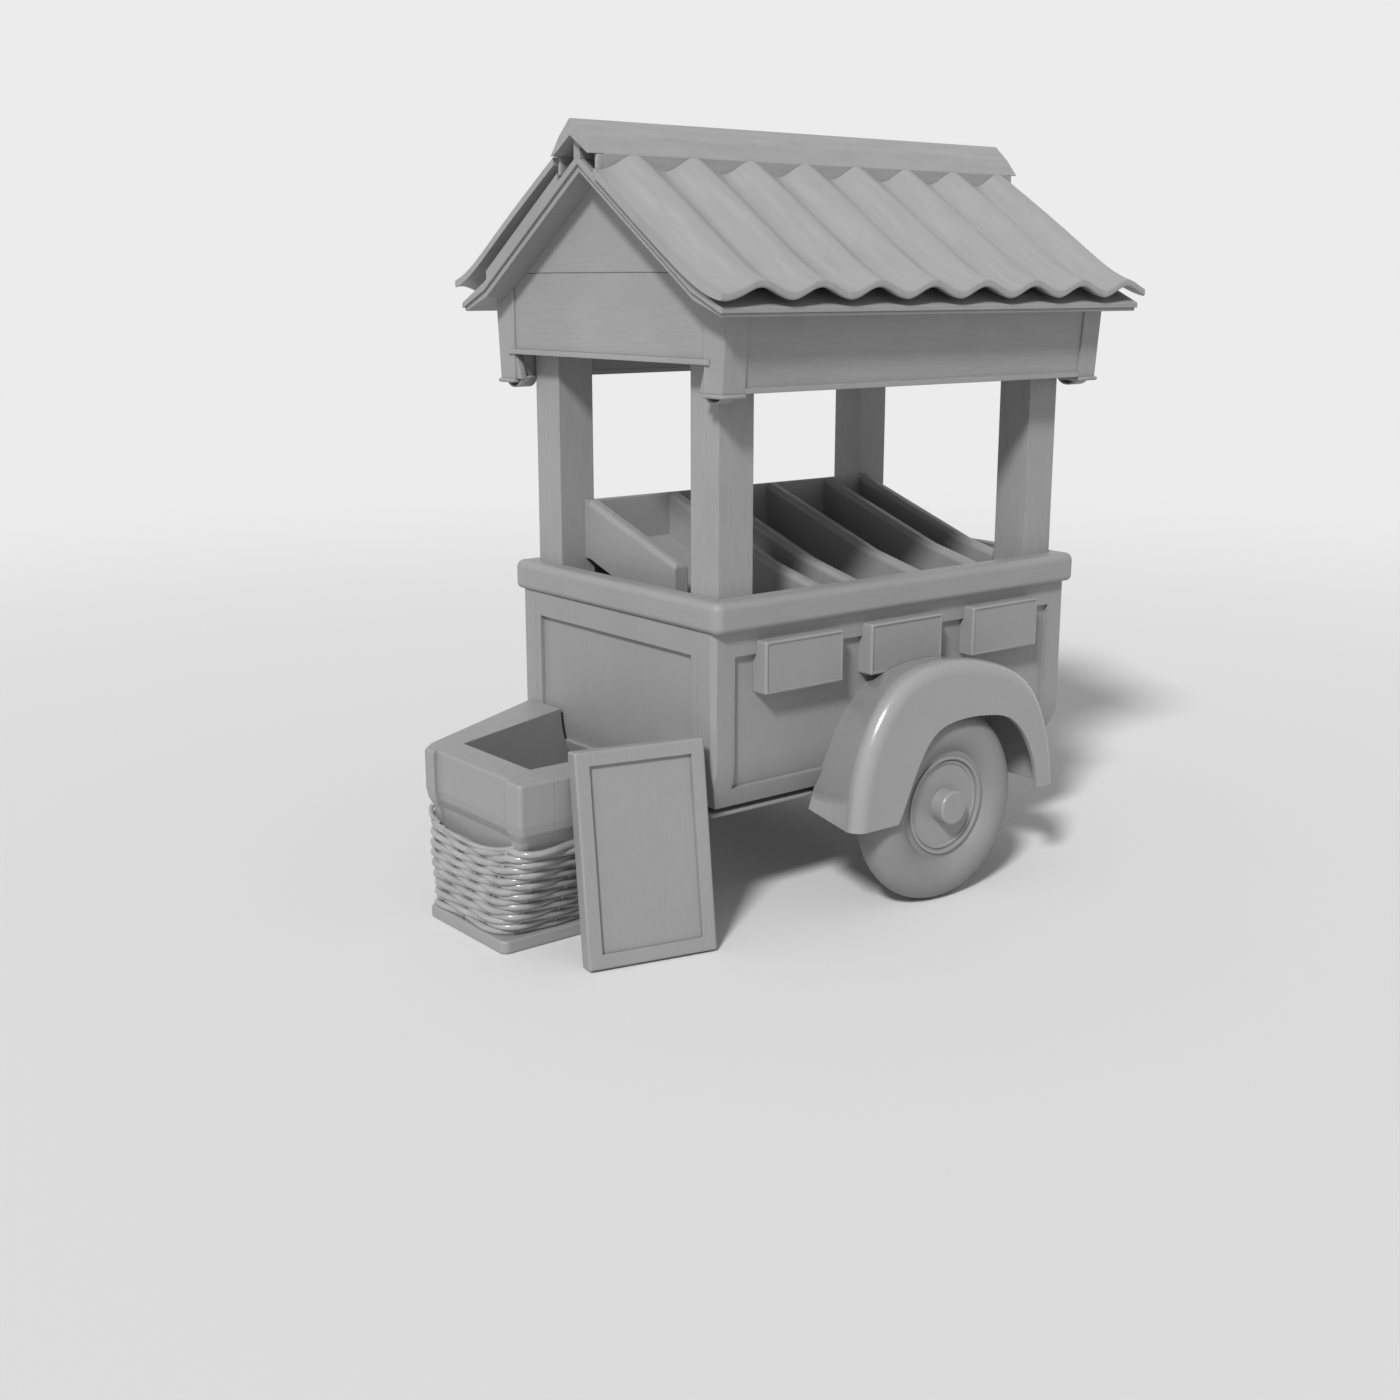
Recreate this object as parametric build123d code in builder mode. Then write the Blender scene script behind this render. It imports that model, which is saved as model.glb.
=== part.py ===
from build123d import *
import math
import os

os.makedirs("parts", exist_ok=True)

# Tub: a panelled box whose sides tuck in at the bottom
tub_half_length = 752
tub_half_width = 492
tub_end_wall = 35
tub_side_wall = 26
tub_over_axle = 65
tub_tuck_height = 150
tub_tuck_side = 38
tub_tuck_end = 38
stile_width = 74
corner_chamfer = 14
panel_recess = 15
side_panel_margin = 80
end_panel_margin = 102
panel_foot = 60
panel_head = 75
floor_thickness = 22

# Skid tray under the tub
skid_plate = 15
skid_gap = 17
skid_end_overhang = 3
skid_side_inset = 11
skid_corner = 22
skid_edge_radius = 6
skid_neck_inset = 50

# Counter rim
rim_end_overhang = 13
rim_side_overhang = 30
rim_top = 990
rim_depth = 92
rim_edge_radius = 24
rim_under_radius = 18
rim_corner = 30

# Posts
post_size = 126
post_end_gap = 12
post_side_gap = 10
post_foot_rise = 20
roof_plate_depth = 95.4

# Wheels and axle
wheel_radius = 305
tyre_tub_gap = 83
tyre_half_width = 70
rim_radius = 153
bead_height = 26
bead_half_width = 44
disc_half_thickness = 50
disc_back = 30
disc_face = 38
ring_inner = 128
ring_outer = 139
ring_rise = 5
ring_inner_bevel = 3
ring_outer_bevel = 2
ring_groove_rise = 1
edge_ring = 144
hubcap_radius = 54
hubcap_height = 49
hubcap_edge_radius = 9
spindle_radius = 22
spindle_cover = 6
running_gap = 0.05
axle_beam_width = 70
axle_shoulder = 30

# Fenders: arch lines as distance from the axle and height above the foot
fender_tyre_gap = 21
fender_wall = 14
fender_edge_radius = 42
fender_foot_drop = 5
fender_foot_cut = 5
fender_root_gap = 7
fender_body_line = ((-345, 0), (-298, 140), (-225, 280), (-120, 372), (20, 414), (190, 405),
                    (340, 340), (420, 190), (450, 0))
fender_face_line = ((-425, 0), (-405, 180), (-345, 330), (-225, 448), (-50, 477), (150, 442),
                    (325, 355), (425, 190), (462, 0))
fender_opening = ((-249, -10), (-153, 183), (-89, 256), (5, 281), (137, 276), (229, 252),
                  (288, 203), (371, -10))

# Roof
roof_slope = 34
soffit_apex = 2163
soffit_step = 21
deck_step = 23
kick_reach = 59
eave_reach = 131
soffit_setback = 4
eave_drop = 45.6
soffit_eave_depth = 12
deck_eave_depth = 15
eave_edge_radius = 4.5
deck_gable_reach = 80
soffit_end_setback = 8
barge_height = 24
barge_width = 20
barge_top_y = 100
barge_kick_gap = 15

# Corrugated sheets
sheet_overhang = 14
sheet_eave_reach = 16
sheet_lift = 4
sheet_depth = 23
sheet_edge_radius = 6
sheet_cap_gap = 1.5
wave_period = 215
first_crests = {"left": -724, "right": -845}

# Ridge cap
cap_overhang = 23
cap_rise = 99
cap_half_width = 97
cap_shoulder_y = 53
cap_shoulder_drop = 46
cap_lip_rise = 1
cap_lip_width = 12
cap_lip_deck_gap = 7
cap_lip_setback = 24
cap_inner_drop = 46
ridge_board_width = 30

# Valance box and gables
valance_end_reach = 67
valance_drop = 194
valance_low_reach = 97
valance_high_reach = 115
valance_thickness = 26
corner_board = 80
board_setback = 6
lip_height = 15
lip_reach = 9
gable_thickness = 28
gable_low_rise = 92
gable_joint_rise = 42
gable_trim_height = 15
gable_trim_reach = 6
gable_trim_end_gap = 53
joint_groove = 3

# Display bins
bin_back_rise = 200
bin_back_gap = 13
bin_board = 20
bin_edge_radius = 5
bin_slope = 18.5
bin_knee_y = -200
bin_front_drop = 27
bin_floor_drop = 137
bin_floor_thickness = 16
bin_end_drop = 185
divider_thickness = 48
divider_radius = 18
divider_centres = (-268, -120, 155, 418)
front_end_inset = 12
front_end_y = -140
rear_end_inset = 11

# Price boxes
price_box_width = 305
price_box_centres = (-440, -22, 420)
price_box_drop = 126
price_box_height = 158
price_box_reach = 42
price_box_radius = 7
price_frame = 9
price_pocket = 2.5
price_pocket_radius = 4

# Crate at the front end; insets are for its front, left and right sides
crate_rim_z = 535
crate_reach = 580
crate_left_inset = 116
crate_right_inset = 314
crate_corner = 44
crate_low_corner = 20
crate_splay = 0.533
crate_rim_edge = 8
crate_rim_radius = 12
crate_tuck_drop = 120
crate_tuck_depth = 55
crate_tuck_ease = (4, 4, 8)
crate_tuck = (16, 18, 26)
crate_ease_radius = 16
crate_tuck_radius = 24
crate_foot_tuck = (46, 160, 40)
crate_foot_radius = 80
crate_base_height = 40
crate_base_inset = (16, 131, -2)
crate_base_corner = 25
crate_base_radius = 8
crate_wall_front = 115
crate_wall_left = 122
crate_wall_right = 71
crate_inner_flare = 191
crate_taper_left = 79
crate_taper_right = 35
crate_panel_recess = 13
crate_panel_left = 76
crate_panel_right = 93
crate_skid_gap = 3

# Wicker band
wicker_drop = 20
wicker_wall = 16
wicker_top_outer = (-12, -8, 5)
wicker_top_radius = 80
wicker_low_outer = (12, 141, -2)
wicker_low_radius = 100

# Leaning board
board_width = 393
board_length = 612
board_thickness = 56
board_turn = -13
board_crate_reach = 130
board_stand_off = 133
board_gap = 0.5
board_border = 42
board_recess = 12
board_panel_thickness = 32
board_radius = 7

# How far a cutting solid runs past what it cuts
cut_margin = 5

# Places worked out from the values above
rise = math.tan(math.radians(roof_slope))
axle_z = wheel_radius
tub_bottom = axle_z + tub_over_axle
tub_tuck_start = tub_bottom + tub_tuck_height
tub_top = rim_top - rim_depth
panel_low = tub_bottom + panel_foot
panel_high = tub_top - panel_head
stile_x = tub_half_length - stile_width
stile_y = tub_half_width - stile_width
rim_half_length = tub_half_length + rim_end_overhang
rim_half_width = tub_half_width + rim_side_overhang
post_face_x = tub_half_length - tub_end_wall - post_end_gap
post_face_y = tub_half_width - tub_side_wall - post_side_gap
post_in_x = post_face_x - post_size
post_in_y = post_face_y - post_size
post_bottom = tub_tuck_start + post_foot_rise
post_top = soffit_apex - rise * post_face_y - roof_plate_depth
valance_half_length = post_face_x + valance_end_reach
valance_low = post_top - valance_drop
valance_low_y = post_face_y + valance_low_reach
valance_high_y = post_face_y + valance_high_reach
kick_y = post_face_y + kick_reach
eave_y = kick_y + eave_reach
eave_soffit_low = soffit_apex - rise * kick_y - eave_drop
eave_soffit_high = eave_soffit_low + soffit_eave_depth
eave_deck_high = eave_soffit_high + deck_eave_depth
deck_apex = soffit_apex + soffit_step
sheet_apex = deck_apex + deck_step
deck_half_length = valance_half_length + deck_gable_reach
soffit_half_length = deck_half_length - soffit_end_setback
sheet_half_length = deck_half_length + sheet_overhang
cap_half_length = deck_half_length + cap_overhang
cap_top = sheet_apex + cap_rise
cap_lip_z = sheet_apex + cap_lip_rise
tyre_plane_y = tub_half_width + tyre_tub_gap + tyre_half_width
spindle_end_y = tyre_plane_y + disc_face - spindle_cover
axle_beam_end_y = tyre_plane_y - disc_half_thickness - axle_shoulder
fender_face_y = tyre_plane_y + tyre_half_width + fender_tyre_gap
fender_foot = axle_z - fender_foot_drop
crate_front_x = -(tub_half_length + crate_reach)
crate_left_y = crate_left_inset - tub_half_width
crate_right_y = tub_half_width - crate_right_inset
crate_tuck_start = crate_rim_z - crate_tuck_drop
crate_tuck_end = crate_tuck_start - crate_tuck_depth
cart_x = -(crate_front_x + wicker_top_outer[0] + cap_half_length) / 2
skid_top = tub_bottom - skid_gap
skid_low = skid_top - skid_plate
skid_half_length = tub_half_length - tub_tuck_end + skid_end_overhang
skid_half_width = tub_half_width - tub_tuck_side - skid_side_inset
sides = {"left": -1, "right": 1}
ends = {"front": -1, "rear": 1}
corners = [(turn_x, turn_y) for turn_x in (-1, 1) for turn_y in (-1, 1)]


def level(z):
    """Level plane at height z, centred on the tub."""
    return Plane(origin=(cart_x, 0, z))


def across(x):
    """Upright plane across the stand: sketch x is Y, sketch y is height."""
    return Plane(origin=(cart_x + x, 0, 0), x_dir=(0, 1, 0), z_dir=(1, 0, 0))


def along(y):
    """Upright plane along the stand: sketch x is X, sketch y is height."""
    return Plane(origin=(cart_x, y, 0), x_dir=(1, 0, 0), z_dir=(0, -1, 0))


def save(piece, name):
    piece.part.label = name
    export_step(piece.part, f"parts/{name}.step")


def block(low, high):
    """A plain box between two corners."""
    size = [b - a for a, b in zip(low, high)]
    middle = [(a + b) / 2 for a, b in zip(low, high)]
    return Pos(cart_x + middle[0], middle[1], middle[2]) * Box(*size, mode=Mode.PRIVATE)


def span(turn, inner, outer):
    """Both ends of a stretch on one side of the middle, lowest first."""
    return sorted((turn * inner, turn * outer))


def polygon(plane, points):
    with BuildSketch(plane) as shape:
        with BuildLine():
            Polyline(*points, close=True)
        make_face()
    return shape.sketch


def soffit_underside(y):
    """Height of the roof's underside at distance y from the ridge."""
    if y <= kick_y:
        return soffit_apex - rise * y
    kick_z = soffit_apex - rise * kick_y
    share = (y - kick_y) / (eave_y - soffit_setback - kick_y)
    return kick_z + share * (eave_soffit_low - kick_z)


def deck_top(y):
    """Height of the deck's top at distance y from the ridge, carried on past the eave."""
    if y <= kick_y:
        return sheet_apex - rise * y
    kick_z = sheet_apex - rise * kick_y
    return kick_z + (eave_deck_high - kick_z) * (y - kick_y) / (eave_y - kick_y)


# Tub
def tub_outline(plane, half, tuck):
    with BuildSketch(plane) as outline:
        with BuildLine():
            Polyline((0, tub_bottom), (0, tub_top), (half, tub_top), (half, tub_tuck_start))
            TangentArc((half, tub_tuck_start), (half - tuck, tub_bottom), tangent=(0, -1))
            Line((half - tuck, tub_bottom), (0, tub_bottom))
        make_face()
        mirror(about=Plane.YZ)
    return outline.sketch


def tub_hull(side_inset, end_inset):
    """The tub's form, brought in by one distance at its sides and another at its ends."""
    with BuildPart() as hull:
        side_outline = tub_outline(across(0), tub_half_width - side_inset, tub_tuck_side)
        extrude(side_outline, amount=tub_half_length, both=True)
        end_outline = tub_outline(along(0), tub_half_length - end_inset, tub_tuck_end)
        extrude(end_outline, amount=tub_half_width, both=True, mode=Mode.INTERSECT)
    return hull.part


hull_outer = tub_hull(0, 0)
hull_panel = tub_hull(panel_recess, panel_recess)
hull_inner = tub_hull(tub_side_wall, tub_end_wall)

tub_side_parts = {}
for name, turn in sides.items():
    low_y, high_y = span(turn, stile_y, tub_half_width)
    panel_x = tub_half_length - side_panel_margin
    with BuildPart() as tub_side:
        add(hull_outer)
        add(hull_inner, mode=Mode.SUBTRACT)
        add(block((-stile_x, low_y, tub_bottom), (stile_x, high_y, tub_top)), mode=Mode.INTERSECT)
        add(block((-panel_x, low_y, panel_low), (panel_x, high_y, panel_high)) - hull_panel,
            mode=Mode.SUBTRACT)
    save(tub_side, f"tub_side_{name}")
    tub_side_parts[name] = tub_side.part

for name, turn in ends.items():
    low_x, high_x = span(turn, stile_x, tub_half_length)
    panel_y = tub_half_width - end_panel_margin
    with BuildPart() as tub_end:
        add(hull_outer)
        add(hull_inner, mode=Mode.SUBTRACT)
        add(block((low_x, -stile_y, tub_bottom), (high_x, stile_y, tub_top)), mode=Mode.INTERSECT)
        add(block((low_x, -panel_y, panel_low), (high_x, panel_y, panel_high)) - hull_panel,
            mode=Mode.SUBTRACT)
    save(tub_end, f"tub_end_{name}")

with BuildPart() as tub_stiles:
    add(hull_outer)
    add(hull_inner, mode=Mode.SUBTRACT)
    add(block((-stile_x, -tub_half_width, tub_bottom), (stile_x, tub_half_width, tub_top)),
        mode=Mode.SUBTRACT)
    add(block((-tub_half_length, -stile_y, tub_bottom), (tub_half_length, stile_y, tub_top)),
        mode=Mode.SUBTRACT)
    with BuildSketch(level(tub_bottom)):
        with GridLocations(2 * tub_half_length, 2 * tub_half_width, 2, 2):
            Rectangle(corner_chamfer * math.sqrt(2), corner_chamfer * math.sqrt(2), rotation=45)
    extrude(amount=tub_top - tub_bottom, mode=Mode.SUBTRACT)
save(tub_stiles, "tub_stiles")

with BuildPart() as tub_floor:
    add(hull_inner)
    add(block((-tub_half_length, -tub_half_width, tub_bottom),
              (tub_half_length, tub_half_width, tub_bottom + floor_thickness)), mode=Mode.INTERSECT)
save(tub_floor, "tub_floor")

with BuildPart() as tub_skid:
    with BuildSketch(level(skid_low)):
        RectangleRounded(2 * skid_half_length, 2 * skid_half_width, skid_corner)
    extrude(amount=skid_plate)
    fillet(tub_skid.faces().filter_by(Axis.Z).edges(), radius=skid_edge_radius)
    with BuildSketch(level(skid_top)):
        Rectangle(2 * (skid_half_length - skid_neck_inset), 2 * (skid_half_width - skid_neck_inset))
    extrude(amount=skid_gap)
save(tub_skid, "tub_skid")


# Counter rim: one moulded ring round the posts, cut into side rails and end rails
with BuildPart() as rim_ring:
    with BuildSketch(level(tub_top)):
        RectangleRounded(2 * rim_half_length, 2 * rim_half_width, rim_corner)
    extrude(amount=rim_depth)
    fillet(rim_ring.faces().sort_by(Axis.Z)[-1].edges(), radius=rim_edge_radius)
    fillet(rim_ring.faces().sort_by(Axis.Z)[0].edges(), radius=rim_under_radius)
    add(block((-post_face_x, -post_face_y, tub_top), (post_face_x, post_face_y, rim_top)),
        mode=Mode.SUBTRACT)

rim_middle = block((-rim_half_length, -post_face_y, tub_top), (rim_half_length, post_face_y, rim_top))
with BuildPart() as rim_sides:
    add(rim_ring.part)
    add(rim_middle, mode=Mode.SUBTRACT)
save(rim_sides, "rim_sides")

with BuildPart() as rim_ends:
    add(rim_ring.part)
    add(rim_middle, mode=Mode.INTERSECT)
save(rim_ends, "rim_ends")


# Posts and the plates on top of them
with BuildPart() as posts:
    with BuildSketch(level(post_bottom)):
        with GridLocations(post_in_x + post_face_x, post_in_y + post_face_y, 2, 2):
            Rectangle(post_size, post_size)
    extrude(amount=post_top - post_bottom)
save(posts, "posts")

with BuildPart() as roof_plates:
    for turn in sides.values():
        plate_outline = polygon(across(0), [
            (turn * post_face_y, post_top),
            (turn * post_face_y, soffit_underside(post_face_y)),
            (turn * post_in_y, soffit_underside(post_in_y)),
            (turn * post_in_y, post_top),
        ])
        extrude(plate_outline, amount=post_face_x, both=True)
save(roof_plates, "roof_plates")


# Valance box
valance_foot_y = valance_low_y - board_setback
valance_head_y = valance_high_y - board_setback
valance_end_x = valance_half_length - corner_board
with BuildPart() as valance_boards:
    for turn in sides.values():
        valance_outline = polygon(across(0), [
            (turn * valance_foot_y, valance_low),
            (turn * valance_head_y, soffit_underside(valance_head_y)),
            (turn * (valance_head_y - valance_thickness),
             soffit_underside(valance_head_y - valance_thickness)),
            (turn * (valance_foot_y - valance_thickness), valance_low),
        ])
        extrude(valance_outline, amount=valance_end_x, both=True)
        low_y, high_y = span(turn, valance_foot_y - valance_thickness, valance_foot_y + lip_reach)
        add(block((-valance_end_x, low_y, valance_low), (valance_end_x, high_y, valance_low + lip_height)))
save(valance_boards, "valance_boards")

corner_inner_y = valance_low_y - corner_board
with BuildPart() as corner_boards:
    for turn_x, turn_y in corners:
        corner_outline = polygon(across(turn_x * (valance_half_length - corner_board / 2)), [
            (turn_y * corner_inner_y, valance_low),
            (turn_y * valance_low_y, valance_low),
            (turn_y * valance_high_y, soffit_underside(valance_high_y)),
            (turn_y * kick_y, soffit_underside(kick_y)),
            (turn_y * corner_inner_y, soffit_underside(corner_inner_y)),
        ])
        extrude(corner_outline, amount=corner_board / 2, both=True)
save(corner_boards, "corner_boards")


# Gables
corner_inner_z = soffit_underside(corner_inner_y)
gable_low = valance_low + gable_low_rise
gable_joint = corner_inner_z + gable_joint_rise
gable_joint_y = (soffit_apex - gable_joint) / rise
gable_face_x = valance_half_length - board_setback
gable_middle_x = gable_face_x - gable_thickness / 2
gable_trim_half_width = valance_low_y - gable_trim_end_gap
with BuildPart() as gable_lower:
    for turn in ends.values():
        lower_outline = polygon(across(turn * gable_middle_x), [
            (-corner_inner_y, gable_low),
            (corner_inner_y, gable_low),
            (corner_inner_y, corner_inner_z),
            (gable_joint_y, gable_joint),
            (-gable_joint_y, gable_joint),
            (-corner_inner_y, corner_inner_z),
        ])
        extrude(lower_outline, amount=gable_thickness / 2, both=True)
save(gable_lower, "gable_lower")

with BuildPart() as gable_upper:
    for turn in ends.values():
        upper_outline = polygon(across(turn * gable_middle_x), [
            (-gable_joint_y, gable_joint),
            (gable_joint_y, gable_joint),
            (0, soffit_apex),
        ])
        extrude(upper_outline, amount=gable_thickness / 2, both=True)
    chamfer(gable_upper.edges().group_by(Axis.Z)[0].filter_by(Axis.Y), length=joint_groove)
save(gable_upper, "gable_upper")

with BuildPart() as gable_trims:
    trim_low = gable_low - gable_trim_height
    trim_face_x = valance_half_length + gable_trim_reach
    for turn in ends.values():
        low_x, high_x = span(turn, gable_face_x - gable_thickness, trim_face_x)
        add(block((low_x, -corner_inner_y, trim_low), (high_x, corner_inner_y, gable_low)))
        low_x, high_x = span(turn, valance_half_length, trim_face_x)
        add(block((low_x, -gable_trim_half_width, trim_low), (high_x, gable_trim_half_width, gable_low)))
save(gable_trims, "gable_trims")


# Roof: soffit boards, deck boards and corrugated sheets on each slope
kick_drop = rise * kick_y
soffit_eave_y = eave_y - soffit_setback
barge_foot_y = kick_y - barge_kick_gap


def eave_edges(piece, reach):
    """The long edges at distance reach from the ridge."""
    return piece.edges().filter_by(Axis.X).filter_by(lambda edge: abs(abs(edge.center().Y) - reach) < 0.1)


for name, turn in sides.items():
    with BuildPart() as soffit:
        soffit_outline = polygon(across(0), [
            (0, soffit_apex),
            (turn * kick_y, soffit_apex - kick_drop),
            (turn * soffit_eave_y, eave_soffit_low),
            (turn * soffit_eave_y, eave_soffit_high),
            (turn * kick_y, deck_apex - kick_drop),
            (0, deck_apex),
        ])
        extrude(soffit_outline, amount=soffit_half_length, both=True)
        fillet(eave_edges(soffit, soffit_eave_y), radius=eave_edge_radius)
    save(soffit, f"soffit_{name}")

    with BuildPart() as roof_deck:
        deck_outline = polygon(across(0), [
            (0, deck_apex),
            (turn * kick_y, deck_apex - kick_drop),
            (turn * soffit_eave_y, eave_soffit_high),
            (turn * eave_y, eave_soffit_high),
            (turn * eave_y, eave_deck_high),
            (turn * kick_y, sheet_apex - kick_drop),
            (0, sheet_apex),
        ])
        extrude(deck_outline, amount=deck_half_length, both=True)
        fillet(eave_edges(roof_deck, eave_y).sort_by(Axis.Z)[-1], radius=eave_edge_radius)
        if name == "right":
            for turn_x in ends.values():
                barge_outline = polygon(across(turn_x * (deck_half_length - barge_width / 2)), [
                    (barge_top_y, sheet_apex - rise * barge_top_y),
                    (barge_foot_y, sheet_apex - rise * barge_foot_y),
                    (barge_foot_y, sheet_apex - rise * barge_foot_y + barge_height),
                    (barge_top_y, sheet_apex - rise * barge_top_y + barge_height),
                ])
                extrude(barge_outline, amount=barge_width / 2, both=True)
    save(roof_deck, f"roof_deck_{name}")


def wave_points(first_crest, height, low_z):
    """Underside of a sheet: four marks to a wave, and level before its first valley."""
    first_valley = first_crest - wave_period / 2
    step = wave_period / 4
    marks = [-sheet_half_length]
    for number in range(math.ceil((sheet_half_length - first_valley) / step)):
        x = first_valley + number * step
        if abs(x) < sheet_half_length - step / 3:
            marks.append(x)
    marks.append(sheet_half_length)
    points = []
    for x in marks:
        swell = (1 + math.cos(2 * math.pi * (x - first_crest) / wave_period)) / 2
        if x < first_valley:
            swell = 0
        points.append((x, low_z + height * swell))
    return points


def sheet_section(plane, lower):
    upper = [(x, z + sheet_depth) for x, z in lower]
    with BuildSketch(plane) as section:
        with BuildLine():
            Spline(*lower)
            Line(lower[-1], upper[-1])
            Spline(*reversed(upper))
            Line(upper[0], lower[0])
        make_face()
    return section.sketch


# Stations of the sheets: distance from the ridge, lift above the deck, wave height
wave_stations = ((cap_half_width + sheet_cap_gap, 0, 42), (200, 0, 48), (350, 0, 54), (kick_y - 25, 4, 50),
                 (kick_y + 65, 4.3, 42), (eave_y + sheet_eave_reach, 20.1, 32))
for name, turn in sides.items():
    sections = []
    for y, lift, height in wave_stations:
        lower_line = wave_points(first_crests[name], height, deck_top(y) + sheet_lift + lift)
        sections.append(sheet_section(along(turn * y), lower_line))
    with BuildPart() as roof_sheet:
        loft(sections)
        eave_face = roof_sheet.faces().filter_by(Axis.Y).sort_by(Axis.Y)[0 if turn < 0 else -1]
        eave_lines = eave_face.edges().sort_by(SortBy.LENGTH)[-2:]
        fillet(eave_lines, radius=sheet_edge_radius)
    save(roof_sheet, f"roof_sheet_{name}")


# Ridge cap and the board that carries it
cap_inner_top = cap_top - cap_inner_drop
cap_inner_y = cap_half_width - cap_lip_width
cap_lip_low = deck_top(cap_inner_y) + cap_lip_deck_gap
cap_lip_x = deck_half_length - cap_lip_setback
with BuildPart() as ridge_cap:
    for turn in sides.values():
        cap_outline = polygon(across(0), [
            (0, cap_inner_top),
            (0, cap_top),
            (turn * cap_shoulder_y, cap_top - cap_shoulder_drop),
            (turn * cap_half_width, cap_lip_z),
            (turn * cap_inner_y, cap_lip_z),
        ])
        extrude(cap_outline, amount=cap_half_length, both=True)
        low_y, high_y = span(turn, cap_inner_y, cap_half_width)
        add(block((-cap_lip_x, low_y, cap_lip_low), (cap_lip_x, high_y, cap_lip_z)))
save(ridge_cap, "ridge_cap")

board_half = ridge_board_width / 2
board_side_top = cap_inner_top - (cap_inner_top - cap_lip_z) * board_half / cap_inner_y
with BuildPart() as ridge_board:
    ridge_outline = polygon(across(0), [
        (0, sheet_apex),
        (board_half, sheet_apex - rise * board_half),
        (board_half, board_side_top),
        (0, cap_inner_top),
        (-board_half, board_side_top),
        (-board_half, sheet_apex - rise * board_half),
    ])
    extrude(ridge_outline, amount=deck_half_length, both=True)
save(ridge_board, "ridge_board")


# Display bins, sloping down from a back board on the right posts
bin_back_top = rim_top + bin_back_rise
bin_back_bottom = rim_top + bin_back_gap
bin_front_top = rim_top - bin_front_drop
bin_face_y = post_in_y - bin_board
bin_front_y = -post_face_y
front_end_centre = -(post_in_x + front_end_inset)
rear_end_centre = post_in_x + rear_end_inset
bin_front_x = front_end_centre - divider_thickness / 2
bin_rear_x = rear_end_centre + divider_thickness / 2


def bin_top(y):
    """Height of a divider's top edge at y."""
    if y >= bin_knee_y:
        return bin_back_top - math.tan(math.radians(bin_slope)) * (bin_face_y - y)
    share = (bin_knee_y - y) / (bin_knee_y - bin_front_y)
    return bin_top(bin_knee_y) + share * (bin_front_top - bin_top(bin_knee_y))


def bin_outline(plane, front_y, high_drop, low_drop):
    """A strip that follows the bins' slope from the back board to front_y."""
    route = [bin_face_y, front_y]
    if front_y < bin_knee_y:
        route.insert(1, bin_knee_y)
    upper = [(y, bin_top(y) - high_drop) for y in route]
    lower = [(y, bin_top(y) - low_drop) for y in reversed(route)]
    return polygon(plane, upper + lower)


def divider_top_edges(piece):
    """The long edges on the dividers' tops and the ones across their front ends."""
    top = piece.edges().filter_by(lambda edge: abs(edge.center().Z - bin_top(edge.center().Y)) < 0.5)
    lengthwise = [edge for edge in top if abs(edge.tangent_at(0.5).X) < 0.5]
    fronts = [edge for edge in top.filter_by(Axis.X) if edge.center().Y < bin_knee_y - cut_margin
              or abs(edge.center().Y - front_end_y) < cut_margin]
    return lengthwise + fronts


with BuildPart() as bin_back:
    add(block((bin_front_x, bin_face_y, bin_back_bottom), (bin_rear_x, post_in_y, bin_back_top)))
    fillet(bin_back.edges().group_by(Axis.Z)[-1].filter_by(Axis.X), radius=bin_edge_radius)
save(bin_back, "bin_back")

with BuildPart() as bin_ends:
    front_outline = bin_outline(across(front_end_centre), front_end_y, 0, bin_end_drop)
    extrude(front_outline, amount=divider_thickness / 2, both=True)
    rear_outline = bin_outline(across(rear_end_centre), -post_in_y, 0, bin_end_drop)
    extrude(rear_outline, amount=divider_thickness / 2, both=True)
    fillet(divider_top_edges(bin_ends), radius=divider_radius)
save(bin_ends, "bin_ends")

with BuildPart() as bin_dividers:
    for centre in divider_centres:
        divider_outline = bin_outline(across(centre), bin_front_y, 0, bin_floor_drop)
        extrude(divider_outline, amount=divider_thickness / 2, both=True)
    fillet(divider_top_edges(bin_dividers), radius=divider_radius)
save(bin_dividers, "bin_dividers")

with BuildPart() as bin_floor:
    floor_low_drop = bin_floor_drop + bin_floor_thickness
    floor_outline = bin_outline(across((front_end_centre + rear_end_centre) / 2), bin_front_y,
                                bin_floor_drop, floor_low_drop)
    extrude(floor_outline, amount=(rear_end_centre - front_end_centre - divider_thickness) / 2, both=True)
save(bin_floor, "bin_floor")


# Fenders: flared arches from the tub's sides out over the wheels
def arch_sketch(y, points):
    with BuildSketch(along(y)) as arch:
        with BuildLine():
            Spline(*points)
            Line(points[-1], points[0])
        make_face()
    return arch.sketch


def fender_section(y, line, inset, drop):
    """An arch at y, brought in towards the axle, with its foot let down by drop."""
    points = []
    for x, height in line:
        z = fender_foot + height
        share = 1 - inset / math.hypot(x, z - axle_z)
        points.append((x * share, axle_z + (z - axle_z) * share))
    points[0] = (points[0][0], fender_foot - drop)
    points[-1] = (points[-1][0], fender_foot - drop)
    return arch_sketch(y, points)


def fender_form(inset, drop):
    with BuildPart() as form:
        root = fender_section(-(skid_half_width + fender_root_gap), fender_body_line, inset, drop)
        face = fender_section(-(fender_face_y - inset), fender_face_line, inset, drop)
        loft([root, face])
        rim_edge = form.faces().sort_by(Axis.Y)[0].edges().sort_by(SortBy.LENGTH)[-1]
        fillet(rim_edge, radius=fender_edge_radius - inset)
    return form.part


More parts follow.
